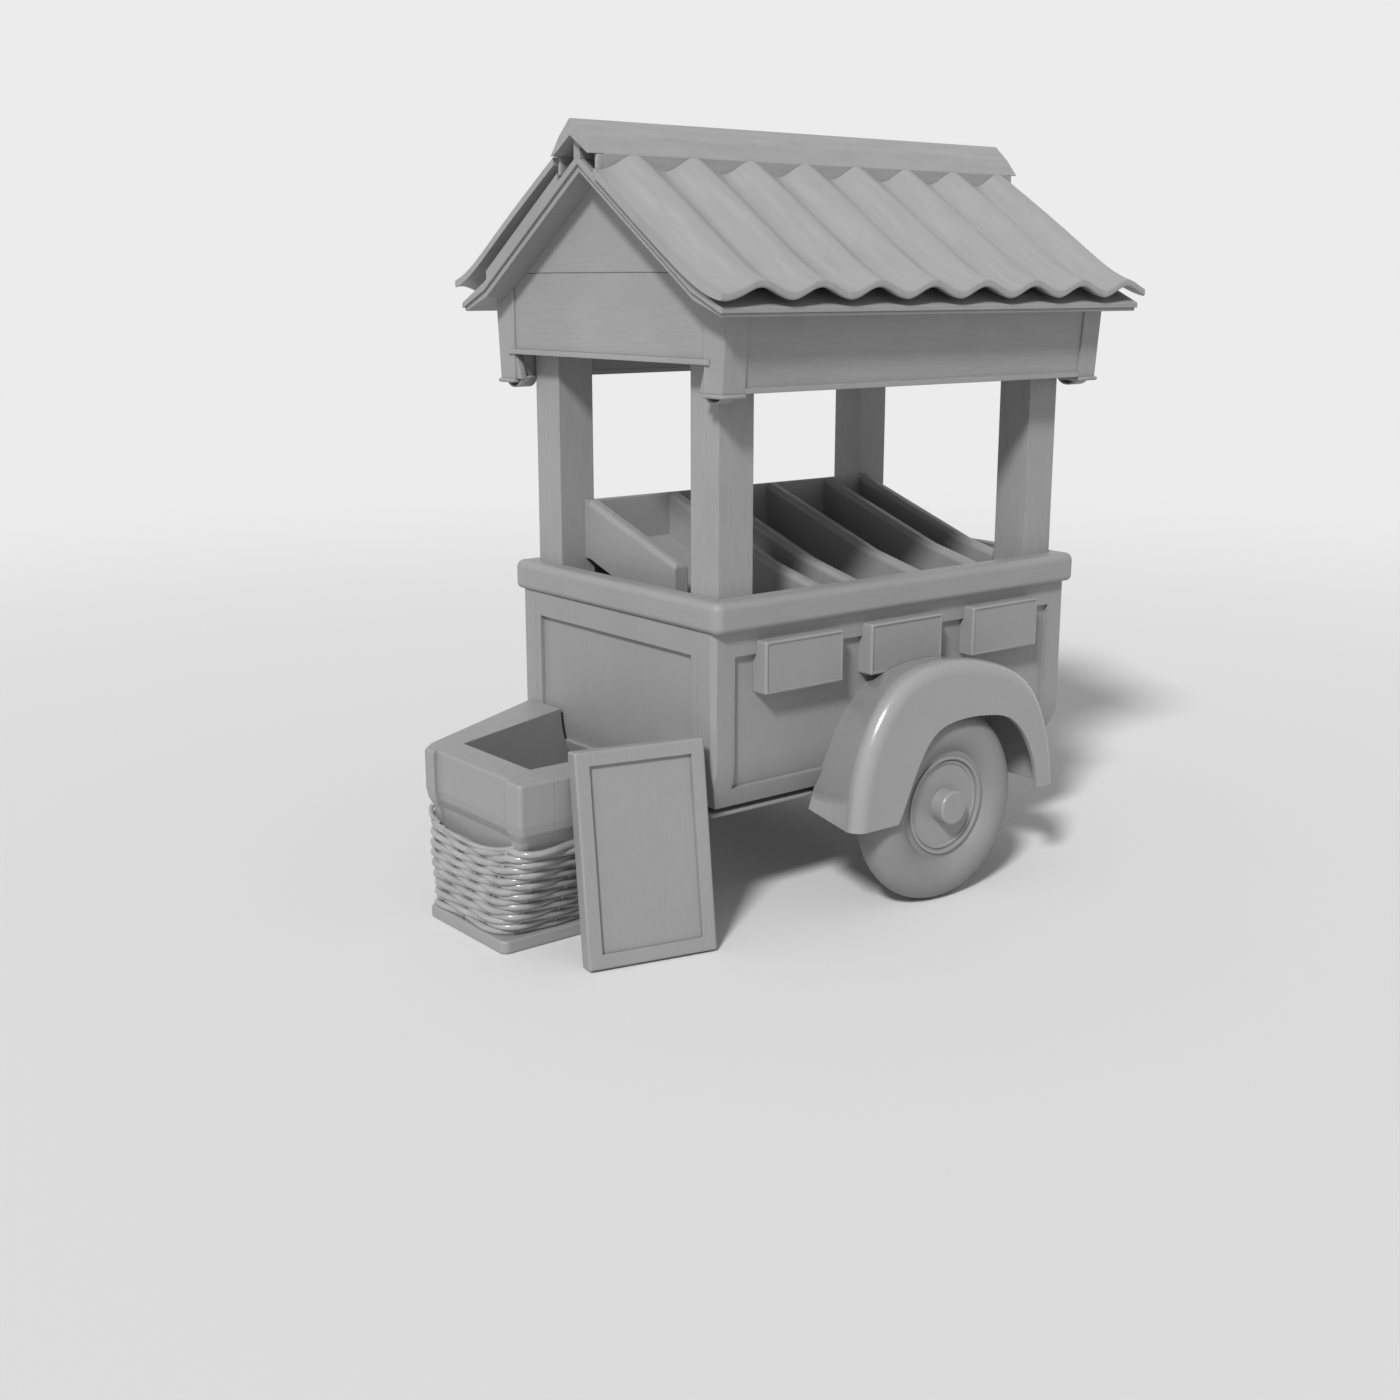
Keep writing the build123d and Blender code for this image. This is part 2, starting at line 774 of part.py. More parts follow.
fender_envelope = fender_form(0, 0)
with BuildPart() as fender_left:
    add(fender_envelope)
    add(fender_form(fender_wall, fender_foot_cut), mode=Mode.SUBTRACT)
    opening_points = [(x, fender_foot + height) for x, height in fender_opening]
    extrude(arch_sketch(-fender_face_y, opening_points), amount=-2 * fender_wall, mode=Mode.SUBTRACT)
    add(hull_panel, mode=Mode.SUBTRACT)
    add(tub_side_parts["left"], mode=Mode.SUBTRACT)
save(fender_left, "fender_left")

with BuildPart() as fender_right:
    add(mirror(fender_left.part, about=Plane.XZ, mode=Mode.PRIVATE))
save(fender_right, "fender_right")


# Price boxes, three on each side, set into the side panels
with BuildPart() as price_boxes:
    box_middle_z = rim_top - price_box_drop - price_box_height / 2
    box_back_y = tub_half_width - panel_recess
    box_face_y = tub_half_width + price_box_reach
    box_places = [(centre, box_middle_z) for centre in price_box_centres]
    for turn in sides.values():
        with BuildSketch(along(turn * box_back_y)):
            with Locations(*box_places):
                RectangleRounded(price_box_width, price_box_height, price_box_radius)
        extrude(amount=-turn * (box_face_y - box_back_y))
    box_fronts = price_boxes.faces().filter_by(lambda face: abs(abs(face.center().Y) - box_face_y) < 0.1)
    fillet(box_fronts.edges(), radius=price_box_radius)
    for turn in sides.values():
        with BuildSketch(along(turn * box_face_y)):
            with Locations(*box_places):
                RectangleRounded(price_box_width - 2 * price_frame, price_box_height - 2 * price_frame,
                                 price_pocket_radius)
        extrude(amount=turn * price_pocket, mode=Mode.SUBTRACT)
    for side_part in tub_side_parts.values():
        add(side_part, mode=Mode.SUBTRACT)
    add(fender_envelope, mode=Mode.SUBTRACT)
    add(mirror(fender_envelope, about=Plane.XZ, mode=Mode.PRIVATE), mode=Mode.SUBTRACT)
save(price_boxes, "price_boxes")


# Axle, with a square beam and round spindles
with BuildPart() as axle:
    add(block((-axle_beam_width / 2, -axle_beam_end_y, axle_z - axle_beam_width / 2),
              (axle_beam_width / 2, axle_beam_end_y, skid_low)))
    with BuildSketch(along(0)):
        with Locations((0, axle_z)):
            Circle(spindle_radius)
    extrude(amount=spindle_end_y, both=True)
save(axle, "axle")


# Wheels
spin = Axis((cart_x, 0, axle_z), (0, 1, 0))
for name, turn in sides.items():
    with BuildPart() as tyre:
        tyre_depth = (wheel_radius - rim_radius) / 2
        with BuildSketch(across(0)):
            with Locations((turn * tyre_plane_y, axle_z + rim_radius + tyre_depth)):
                Ellipse(tyre_half_width, tyre_depth)
            with Locations((turn * tyre_plane_y, axle_z + rim_radius + bead_height / 2)):
                Rectangle(2 * bead_half_width, bead_height)
        revolve(axis=spin)
    save(tyre, f"tyre_{name}")

    bore = spindle_radius + running_gap
    disc_outline = [
        (disc_face, bore),
        (disc_face, ring_inner),
        (disc_face + ring_rise, ring_inner + ring_inner_bevel),
        (disc_face + ring_rise, ring_outer - ring_outer_bevel),
        (disc_face + ring_groove_rise, ring_outer),
        (disc_face + ring_groove_rise, edge_ring - ring_outer_bevel),
        (disc_half_thickness, edge_ring),
        (disc_half_thickness, rim_radius),
        (-disc_half_thickness, rim_radius),
        (-disc_half_thickness, edge_ring),
        (-disc_back, ring_inner),
        (-disc_back, bore),
    ]
    with BuildPart() as wheel_disc:
        disc_points = [(turn * (tyre_plane_y + out), axle_z + reach) for out, reach in disc_outline]
        revolve(polygon(across(0), disc_points), axis=spin)
    save(wheel_disc, f"wheel_disc_{name}")

    with BuildPart() as hubcap:
        with BuildSketch(along(turn * (tyre_plane_y + disc_face))):
            with Locations((0, axle_z)):
                Circle(hubcap_radius)
        extrude(amount=-turn * hubcap_height)
        cap_face = hubcap.faces().sort_by(Axis.Y)[0 if turn < 0 else -1]
        fillet(cap_face.edges(), radius=hubcap_edge_radius)
    save(hubcap, f"hubcap_{name}")


# Crate, with a splayed right side and a corner cut off
crate_rear_x = -(skid_half_length + crate_skid_gap)
crate_bend_x = crate_front_x + crate_corner
crate_inner_front_x = crate_front_x + crate_wall_front
crate_inner_left_y = crate_left_y + crate_wall_left
crate_inner_right_y = crate_right_y - crate_wall_right
crate_inner_rear_y = crate_inner_right_y + crate_inner_flare


def crate_right_line(x):
    return crate_right_y + crate_splay * (x - crate_bend_x)


def crate_outline(z, insets, radius, corner=crate_corner, rear=crate_rear_x):
    """The crate's outline, rounded by radius where its front and left sides meet."""
    front_in, left_in, right_in = insets
    front_x = crate_front_x + front_in
    left_y = crate_left_y + left_in
    bend_x = front_x + corner
    bend_y = crate_right_line(bend_x) - right_in
    with BuildSketch(level(z)) as outline:
        with BuildLine():
            Polyline(
                (rear, left_y),
                (front_x, left_y),
                (front_x, bend_y - corner),
                (bend_x, bend_y),
                (rear, crate_right_line(rear) - right_in),
                close=True,
            )
        make_face()
        fillet(outline.vertices().group_by(Axis.X)[0].sort_by(Axis.Y)[0], radius=radius)
    return outline.sketch


with BuildPart() as crate_hull:
    loft([
        crate_outline(crate_rim_z, (0, 0, 0), crate_rim_radius),
        crate_outline(crate_tuck_start, (0, 0, 0), crate_rim_radius),
        crate_outline((crate_tuck_start + crate_tuck_end) / 2, crate_tuck_ease, crate_ease_radius),
        crate_outline(crate_tuck_end, crate_tuck, crate_tuck_radius),
        crate_outline(crate_base_height, crate_foot_tuck, crate_foot_radius),
    ], ruled=True)
    fillet(crate_hull.faces().sort_by(Axis.Z)[-1].edges(), radius=crate_rim_edge)

hollow_rear_x = crate_rear_x + cut_margin
with BuildPart() as crate_hollow:
    loft([
        polygon(level(crate_rim_z + cut_margin), [
            (crate_inner_front_x, crate_inner_left_y),
            (crate_inner_front_x, crate_inner_right_y),
            (hollow_rear_x, crate_inner_rear_y),
            (hollow_rear_x, crate_inner_left_y),
        ]),
        polygon(level(crate_base_height), [
            (crate_inner_front_x, crate_inner_left_y + crate_taper_left),
            (crate_inner_front_x, crate_inner_right_y - crate_taper_right),
            (hollow_rear_x, crate_inner_rear_y - crate_taper_right),
            (hollow_rear_x, crate_inner_left_y + crate_taper_left),
        ]),
    ], ruled=True)

crate_reach_y = tub_half_width - corner_chamfer
with BuildPart() as crate_front:
    add(crate_hull.part)
    add(block((crate_front_x, -crate_reach_y, crate_base_height),
              (crate_inner_front_x, crate_reach_y, crate_rim_z)), mode=Mode.INTERSECT)
    pocket = block((crate_front_x, crate_left_y + crate_panel_left, crate_base_height),
                   (crate_inner_front_x, crate_right_y - crate_panel_right, crate_rim_z + cut_margin))
    add(pocket - Pos(crate_panel_recess, 0, 0) * crate_hull.part, mode=Mode.SUBTRACT)
save(crate_front, "crate_front")

for name, turn in sides.items():
    low_y, high_y = span(turn, 0, crate_reach_y)
    with BuildPart() as crate_side:
        add(crate_hull.part)
        add(block((crate_inner_front_x, low_y, crate_base_height), (crate_rear_x, high_y, crate_rim_z)),
            mode=Mode.INTERSECT)
        add(crate_hollow.part, mode=Mode.SUBTRACT)
        add(hull_outer, mode=Mode.SUBTRACT)
    save(crate_side, f"crate_{name}")

with BuildPart() as crate_base:
    base_outline = crate_outline(0, crate_base_inset, crate_base_corner, crate_low_corner)
    extrude(base_outline, amount=crate_base_height)
    fillet(crate_base.faces().filter_by(Axis.Z).edges(), radius=crate_base_radius)
save(crate_base, "crate_base")

wicker_high = crate_tuck_end - wicker_drop
wicker_low_inner = [inset + wicker_wall for inset in wicker_low_outer]
wicker_top_inner = [inset + wicker_wall for inset in wicker_top_outer]
with BuildPart() as wicker_band:
    loft([
        crate_outline(crate_base_height, wicker_low_outer, wicker_low_radius, crate_low_corner),
        crate_outline(wicker_high, wicker_top_outer, wicker_top_radius),
    ], ruled=True)
    loft([
        crate_outline(crate_base_height, wicker_low_inner, wicker_low_radius - wicker_wall,
                      crate_low_corner, hollow_rear_x),
        crate_outline(wicker_high, wicker_top_inner, wicker_top_radius - wicker_wall,
                      rear=hollow_rear_x),
    ], ruled=True, mode=Mode.SUBTRACT)
save(wicker_band, "wicker_band")


# Board that leans on the crate's left rim
turned = math.radians(board_turn)
board_left_x = crate_front_x + board_crate_reach
board_left_y = crate_left_y - board_stand_off
foot_back_y = board_left_y + board_thickness * math.cos(turned)
lean = math.atan((crate_left_y - board_gap - foot_back_y) / (math.cos(turned) * crate_rim_z))
edge_lift = board_radius * (math.cos(lean) + math.sin(lean) - 1)
board_plane = Plane(
    origin=(cart_x + board_left_x, board_left_y, board_thickness * math.sin(lean) - edge_lift),
    x_dir=(math.cos(turned), math.sin(turned), 0),
    z_dir=(math.sin(turned) * math.cos(lean), -math.cos(turned) * math.cos(lean), math.sin(lean)),
)


def board_face(inset, depth):
    """The board's face or its inner panel, depth below the front."""
    with BuildSketch(board_plane.offset(-depth)) as face:
        with Locations((board_width / 2, board_length / 2)):
            Rectangle(board_width - 2 * inset, board_length - 2 * inset)
    return face.sketch


with BuildPart() as board_frame:
    extrude(board_face(0, 0), amount=-board_thickness)
    fillet(board_frame.edges(), radius=board_radius)
    extrude(board_face(board_border, 0), amount=-board_thickness, mode=Mode.SUBTRACT)
save(board_frame, "board_frame")

with BuildPart() as board_panel:
    extrude(board_face(board_border, board_recess), amount=-board_panel_thickness)
save(board_panel, "board_panel")
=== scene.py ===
import math
import bmesh
import bpy
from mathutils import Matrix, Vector, noise


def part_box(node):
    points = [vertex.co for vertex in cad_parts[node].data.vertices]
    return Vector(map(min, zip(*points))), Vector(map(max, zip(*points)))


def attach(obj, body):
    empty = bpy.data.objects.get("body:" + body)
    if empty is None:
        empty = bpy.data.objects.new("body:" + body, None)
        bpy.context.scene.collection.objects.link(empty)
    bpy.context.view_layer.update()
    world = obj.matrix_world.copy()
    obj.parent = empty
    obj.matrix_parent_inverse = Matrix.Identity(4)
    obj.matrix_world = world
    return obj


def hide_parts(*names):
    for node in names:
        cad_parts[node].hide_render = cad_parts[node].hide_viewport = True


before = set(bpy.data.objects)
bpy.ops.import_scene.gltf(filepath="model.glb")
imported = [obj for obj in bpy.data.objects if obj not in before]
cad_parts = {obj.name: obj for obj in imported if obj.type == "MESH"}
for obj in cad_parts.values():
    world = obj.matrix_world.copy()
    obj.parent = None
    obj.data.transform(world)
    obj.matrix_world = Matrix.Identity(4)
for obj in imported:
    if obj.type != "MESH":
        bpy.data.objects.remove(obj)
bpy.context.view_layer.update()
scene = bpy.context.scene
cartX = 0.2345  # the tub's centre along the stand
print("frame loaded:", len(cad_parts), "nodes")

# Camera at the photograph's viewing angle
photoCamera = {"place": (-3.5115, -4.201, 1.864), "tilt": 76.40, "turn": -38.46, "lens": 44.54,
               "sensor": 36}
cameraData = bpy.data.cameras.new("photoCamera")
cameraData.sensor_width = photoCamera["sensor"]
cameraData.lens = photoCamera["lens"]
camera = bpy.data.objects.new("photoCamera", cameraData)
camera.location = photoCamera["place"]
camera.rotation_euler = (math.radians(photoCamera["tilt"]), 0, math.radians(photoCamera["turn"]))
scene.collection.objects.link(camera)
scene.camera = camera

# Plain studio: even sky, one soft sun, and a pale floor that fades into the backdrop
studio = {"sky": 0.40, "backdrop": (0.84, 0.84, 0.84, 1), "sun": 3.0, "sunSpread": 9,
          "sunFrom": (-0.66, -0.42, 0.66), "floor": (0.70, 0.70, 0.70, 1), "floorRough": 0.9,
          "floorRadius": 30, "fadeStart": 3.0, "fadeEnd": 11.0}
scene.view_settings.view_transform = "Standard"
world = bpy.data.worlds.new("studioWorld")
scene.world = world
world.use_nodes = True
worldNodes, worldLinks = world.node_tree.nodes, world.node_tree.links
worldNodes.clear()
# Camera, glossy and transmitted rays see the backdrop, and all others are lit by the sky
rays = worldNodes.new("ShaderNodeLightPath")
seenGlossy = worldNodes.new("ShaderNodeMath")
seenGlossy.operation = "MAXIMUM"
seenAny = worldNodes.new("ShaderNodeMath")
seenAny.operation = "MAXIMUM"
worldLinks.new(rays.outputs["Is Camera Ray"], seenGlossy.inputs[0])
worldLinks.new(rays.outputs["Is Glossy Ray"], seenGlossy.inputs[1])
worldLinks.new(seenGlossy.outputs[0], seenAny.inputs[0])
worldLinks.new(rays.outputs["Is Transmission Ray"], seenAny.inputs[1])
skyLight = worldNodes.new("ShaderNodeBackground")
skyLight.inputs["Color"].default_value = (1, 1, 1, 1)
skyLight.inputs["Strength"].default_value = studio["sky"]
backdrop = worldNodes.new("ShaderNodeBackground")
backdrop.inputs["Color"].default_value = studio["backdrop"]
skyMix = worldNodes.new("ShaderNodeMixShader")
skyOut = worldNodes.new("ShaderNodeOutputWorld")
worldLinks.new(seenAny.outputs[0], skyMix.inputs[0])
worldLinks.new(skyLight.outputs[0], skyMix.inputs[1])
worldLinks.new(backdrop.outputs[0], skyMix.inputs[2])
worldLinks.new(skyMix.outputs[0], skyOut.inputs["Surface"])

sunData = bpy.data.lights.new("softSun", "SUN")
sunData.energy = studio["sun"]
sunData.angle = math.radians(studio["sunSpread"])
sun = bpy.data.objects.new("softSun", sunData)
sun.rotation_euler = Vector(studio["sunFrom"]).to_track_quat("Z", "Y").to_euler()
scene.collection.objects.link(sun)


def placePiece(name, mesh, finish):
    piece = bpy.data.objects.new(name, mesh)
    scene.collection.objects.link(piece)
    mesh.materials.append(finish)
    mesh.polygons.foreach_set("use_smooth", [True] * len(mesh.polygons))
    return piece


def meshFrom(name, shape):
    mesh = bpy.data.meshes.new(name)
    bmesh.ops.recalc_face_normals(shape, faces=shape.faces)
    shape.to_mesh(mesh)
    shape.free()
    return mesh


floorFinish = bpy.data.materials.new("paleFloor")
floorFinish.use_nodes = True
floorNodes, floorLinks = floorFinish.node_tree.nodes, floorFinish.node_tree.links
floorShader = floorNodes["Principled BSDF"]
floorShader.inputs["Base Color"].default_value = studio["floor"]
floorShader.inputs["Roughness"].default_value = studio["floorRough"]
floorPlace = floorNodes.new("ShaderNodeTexCoord")
floorReach = floorNodes.new("ShaderNodeVectorMath")
floorReach.operation = "LENGTH"
floorFade = floorNodes.new("ShaderNodeMapRange")
floorFade.interpolation_type = "SMOOTHSTEP"
floorFade.inputs["From Min"].default_value = studio["fadeStart"]
floorFade.inputs["From Max"].default_value = studio["fadeEnd"]
floorGlow = floorNodes.new("ShaderNodeEmission")
floorGlow.inputs["Color"].default_value = studio["backdrop"]
floorMix = floorNodes.new("ShaderNodeMixShader")
floorLinks.new(floorPlace.outputs["Object"], floorReach.inputs[0])
floorLinks.new(floorReach.outputs["Value"], floorFade.inputs["Value"])
floorLinks.new(floorFade.outputs["Result"], floorMix.inputs[0])
floorLinks.new(floorShader.outputs[0], floorMix.inputs[1])
floorLinks.new(floorGlow.outputs[0], floorMix.inputs[2])
floorLinks.new(floorMix.outputs[0], floorNodes["Material Output"].inputs["Surface"])
floorShape = bmesh.new()
bmesh.ops.create_circle(floorShape, cap_ends=True, segments=96, radius=studio["floorRadius"])
floor = placePiece("studioFloor", meshFrom("studioFloor", floorShape), floorFinish)
print("studio ready")

# Finishes: every one is a grey, with the grain, mottling and worn edges of its own stuff.
# A noise field is given as its scale (unless the look has one), detail, roughness and distortion.
noiseSpan = (0.3, 0.7)
wear = {"samples": 4, "flat": 0.995, "edge": 0.86, "patchSpan": (0.42, 0.62), "least": 0.1}


def openFinish(name, look):
    finish = bpy.data.materials.new(name)
    finish.use_nodes = True
    shader = finish.node_tree.nodes["Principled BSDF"]
    shader.inputs["Metallic"].default_value = look.get("metallic", 0)
    shader.inputs["Specular IOR Level"].default_value = look.get("specular", 0.5)
    shader.inputs["Coat Weight"].default_value = look.get("coat", 0)
    shader.inputs["Coat Roughness"].default_value = look.get("coatRoughness", 0.1)
    return finish, finish.node_tree.nodes, finish.node_tree.links, shader


def placeMap(nodes, links, stretch=(1, 1, 1), shift=(0, 0, 0)):
    where = nodes.new("ShaderNodeTexCoord")
    mapping = nodes.new("ShaderNodeMapping")
    mapping.inputs["Scale"].default_value = stretch
    mapping.inputs["Location"].default_value = shift
    links.new(where.outputs["Object"], mapping.inputs["Vector"])
    return mapping.outputs["Vector"]


def noiseField(nodes, links, vector, scale, detail, roughness, twist=0):
    field = nodes.new("ShaderNodeTexNoise")
    field.inputs["Scale"].default_value = scale
    field.inputs["Detail"].default_value = detail
    field.inputs["Roughness"].default_value = roughness
    field.inputs["Distortion"].default_value = twist
    links.new(vector, field.inputs["Vector"])
    return field.outputs["Fac"]


def rangeOf(nodes, links, value, low, high, toLow, toHigh):
    span = nodes.new("ShaderNodeMapRange")
    span.inputs["From Min"].default_value = low
    span.inputs["From Max"].default_value = high
    span.inputs["To Min"].default_value = toLow
    span.inputs["To Max"].default_value = toHigh
    links.new(value, span.inputs["Value"])
    return span.outputs["Result"]


def combine(nodes, links, operation, first, second):
    mathNode = nodes.new("ShaderNodeMath")
    mathNode.operation = operation
    for socket, value in zip(mathNode.inputs, (first, second)):
        if isinstance(value, (int, float)):
            socket.default_value = value
        else:
            links.new(value, socket)
    return mathNode.outputs[0]


def greyTone(nodes, links, value, tone, spread, wornMask=None, wornTone=1.0):
    # A grey that swings by spread about its tone, and turns to the worn tone under the mask
    swing = rangeOf(nodes, links, value, *noiseSpan, tone * (1 - spread), tone * (1 + spread))
    colour = nodes.new("ShaderNodeCombineColor")
    if wornMask is not None:
        blendTone = nodes.new("ShaderNodeMix")
        links.new(wornMask, blendTone.inputs["Factor"])
        links.new(swing, blendTone.inputs["A"])
        blendTone.inputs["B"].default_value = wornTone
        swing = blendTone.outputs["Result"]
    for channel in ("Red", "Green", "Blue"):
        links.new(swing, colour.inputs[channel])
    return colour.outputs["Color"]


def roundedNormal(nodes, radius):
    edge = nodes.new("ShaderNodeBevel")
    edge.samples = wear["samples"]
    edge.inputs["Radius"].default_value = radius
    return edge.outputs["Normal"]


def edgeMask(nodes, links, softNormal, patches):
    # Worn edges: where the rounded normal leaves the true one, broken up by patches
    true = nodes.new("ShaderNodeNewGeometry")
    alike = nodes.new("ShaderNodeVectorMath")
    alike.operation = "DOT_PRODUCT"
    links.new(softNormal, alike.inputs[0])
    links.new(true.outputs["Normal"], alike.inputs[1])
    edge = rangeOf(nodes, links, alike.outputs["Value"], wear["flat"], wear["edge"], 0, 1)
    broken = rangeOf(nodes, links, patches, *wear["patchSpan"], wear["least"], 1)
    return combine(nodes, links, "MULTIPLY", edge, broken)


def bumpOf(nodes, links, height, strength, distance, normal=None):
    bump = nodes.new("ShaderNodeBump")
    bump.inputs["Strength"].default_value = strength
    bump.inputs["Distance"].default_value = distance
    links.new(height, bump.inputs["Height"])
    if normal is not None:
        links.new(normal, bump.inputs["Normal"])
    return bump.outputs["Normal"]


timberGrain = {"x": (1, 14, 14), "y": (14, 1, 14), "z": (14, 14, 1), "grain": (6, 0.62, 0.35),
               "pores": (3, 0.5), "poresFiner": 5, "mottle": (2.6, 5, 0.6), "patches": (21, 6, 0.65),
               "mottleShare": 0.55, "grainShare": 0.45, "poreShare": 0.4, "roughSpread": 0.07,
               "depth": 0.0012}


def timberFinish(name, along, look):
    finish, nodes, links, shader = openFinish(name, look)
    grainPlace = placeMap(nodes, links, timberGrain[along])
    plainPlace = placeMap(nodes, links)
    grain = noiseField(nodes, links, grainPlace, look["grainScale"], *timberGrain["grain"])
    pores = noiseField(nodes, links, grainPlace, look["grainScale"] * timberGrain["poresFiner"],
                       *timberGrain["pores"])
    mottle = noiseField(nodes, links, plainPlace, *timberGrain["mottle"])
    patches = noiseField(nodes, links, plainPlace, *timberGrain["patches"])
    blend = combine(nodes, links, "MULTIPLY", mottle, timberGrain["mottleShare"])
    grainPart = combine(nodes, links, "MULTIPLY", grain, timberGrain["grainShare"])
    blend = combine(nodes, links, "ADD", blend, grainPart)
    softNormal = roundedNormal(nodes, look["edgeRadius"])
    worn = edgeMask(nodes, links, softNormal, patches)
    tone = greyTone(nodes, links, blend, look["tone"], look["spread"], worn, look["wornTone"])
    links.new(tone, shader.inputs["Base Color"])
    rough = rangeOf(nodes, links, patches, *noiseSpan, look["rough"] - timberGrain["roughSpread"],
                    look["rough"] + timberGrain["roughSpread"])
    links.new(rough, shader.inputs["Roughness"])
    porePart = combine(nodes, links, "MULTIPLY", pores, timberGrain["poreShare"])
    relief = combine(nodes, links, "ADD", grain, porePart)
    links.new(bumpOf(nodes, links, relief, look["bump"], timberGrain["depth"], softNormal),
              shader.inputs["Normal"])
    return finish


metalSkin = {"streaks": (5, 0.6, 0.2), "peel": (2, 0.5), "patches": (15, 6, 0.65), "depth": 0.0006,
             "downSlope": (6, 0.7, 0.7), "alongRidge": (0.7, 6, 6)}


def metalFinish(name, look, stretch=(1, 1, 1)):
    finish, nodes, links, shader = openFinish(name, look)
    plainPlace = placeMap(nodes, links)
    streakPlace = placeMap(nodes, links, stretch)
    streaks = noiseField(nodes, links, streakPlace, look["streakScale"], *metalSkin["streaks"])
    peel = noiseField(nodes, links, plainPlace, look["peelScale"], *metalSkin["peel"])
    patches = noiseField(nodes, links, plainPlace, *metalSkin["patches"])
    softNormal = roundedNormal(nodes, look["edgeRadius"])
    worn = edgeMask(nodes, links, softNormal, patches)
    tone = greyTone(nodes, links, streaks, look["tone"], look["spread"], worn, look["wornTone"])
    links.new(tone, shader.inputs["Base Color"])
    rough = rangeOf(nodes, links, patches, *noiseSpan, look["rough"] - look["roughSpread"],
                    look["rough"] + look["roughSpread"])
    links.new(rough, shader.inputs["Roughness"])
    links.new(bumpOf(nodes, links, peel, look["bump"], metalSkin["depth"], softNormal),
              shader.inputs["Normal"])
    return finish


paintLook = {"tone": 0.27, "spread": 0.07, "wornTone": 0.36, "rough": 0.46, "grainScale": 9,
             "bump": 0.16, "edgeRadius": 0.004, "specular": 0.42}
timberLook = {"tone": 0.285, "spread": 0.11, "wornTone": 0.37, "rough": 0.58, "grainScale": 9,
              "bump": 0.3, "edgeRadius": 0.004, "specular": 0.35}
roofLook = {"tone": 0.29, "spread": 0.08, "wornTone": 0.36, "rough": 0.44, "roughSpread": 0.06,
            "streakScale": 7, "peelScale": 160, "bump": 0.1, "edgeRadius": 0.003, "specular": 0.45}
fenderLook = {"tone": 0.285, "spread": 0.04, "wornTone": 0.29, "rough": 0.26, "roughSpread": 0.025,
              "streakScale": 3, "peelScale": 90, "bump": 0.012, "edgeRadius": 0.003, "coat": 0.45,
              "coatRoughness": 0.14}
wheelLook = {"tone": 0.27, "spread": 0.05, "wornTone": 0.36, "rough": 0.3, "roughSpread": 0.03,
             "streakScale": 5, "peelScale": 90, "bump": 0.015, "edgeRadius": 0.0025, "coat": 0.2,
             "coatRoughness": 0.2}
axleLook = {"tone": 0.13, "spread": 0.14, "wornTone": 0.2, "rough": 0.62, "roughSpread": 0.08,
            "streakScale": 26, "peelScale": 320, "bump": 0.35, "edgeRadius": 0.003}

# Tyre: rubber with faint moulding rings about the axle
tyreLook = {"tone": 0.23, "spread": 0.06, "specular": 0.36, "axle": (cartX, 0, 0.305), "rings": 22,
            "dust": (7, 6, 0.62), "speckle": (420, 2, 0.5), "rough": (0.5, 0.68), "ringBump": 0.1,
            "ringDepth": 0.0008, "speckleBump": 0.12, "speckleDepth": 0.0005}
tyreRubber, nodes, links, shader = openFinish("tyreRubber", tyreLook)
plainPlace = placeMap(nodes, links)
axlePlace = placeMap(nodes, links, shift=[-c for c in tyreLook["axle"]])
rings = nodes.new("ShaderNodeTexWave")
rings.wave_type = "RINGS"
rings.rings_direction = "Y"
rings.inputs["Scale"].default_value = tyreLook["rings"]
links.new(axlePlace, rings.inputs["Vector"])
dust = noiseField(nodes, links, plainPlace, *tyreLook["dust"])
speckle = noiseField(nodes, links, plainPlace, *tyreLook["speckle"])
links.new(greyTone(nodes, links, dust, tyreLook["tone"], tyreLook["spread"]),
          shader.inputs["Base Color"])
links.new(rangeOf(nodes, links, dust, *noiseSpan, *tyreLook["rough"]), shader.inputs["Roughness"])
ringNormal = bumpOf(nodes, links, rings.outputs["Fac"], tyreLook["ringBump"], tyreLook["ringDepth"])
links.new(bumpOf(nodes, links, speckle, tyreLook["speckleBump"], tyreLook["speckleDepth"], ringNormal),
          shader.inputs["Normal"])

# Cane: varnished, with fine fibres and an uneven shade
caneLook = {"tone": 0.29, "spread": 0.16, "coat": 0.55, "coatRoughness": 0.16, "specular": 0.5,
            "stretch": (1, 1, 9), "fibres": (60, 4, 0.6), "shades": (16, 5, 0.6), "rough": (0.26, 0.4),
            "bump": 0.22, "depth": 0.0008}
varnishedCane, nodes, links, shader = openFinish("varnishedCane", caneLook)
fibrePlace = placeMap(nodes, links, caneLook["stretch"])
plainPlace = placeMap(nodes, links)
fibres = noiseField(nodes, links, fibrePlace, *caneLook["fibres"])
shades = noiseField(nodes, links, plainPlace, *caneLook["shades"])
links.new(greyTone(nodes, links, shades, caneLook["tone"], caneLook["spread"]),
          shader.inputs["Base Color"])
links.new(rangeOf(nodes, links, fibres, *noiseSpan, *caneLook["rough"]), shader.inputs["Roughness"])
links.new(bumpOf(nodes, links, fibres, caneLook["bump"], caneLook["depth"]), shader.inputs["Normal"])

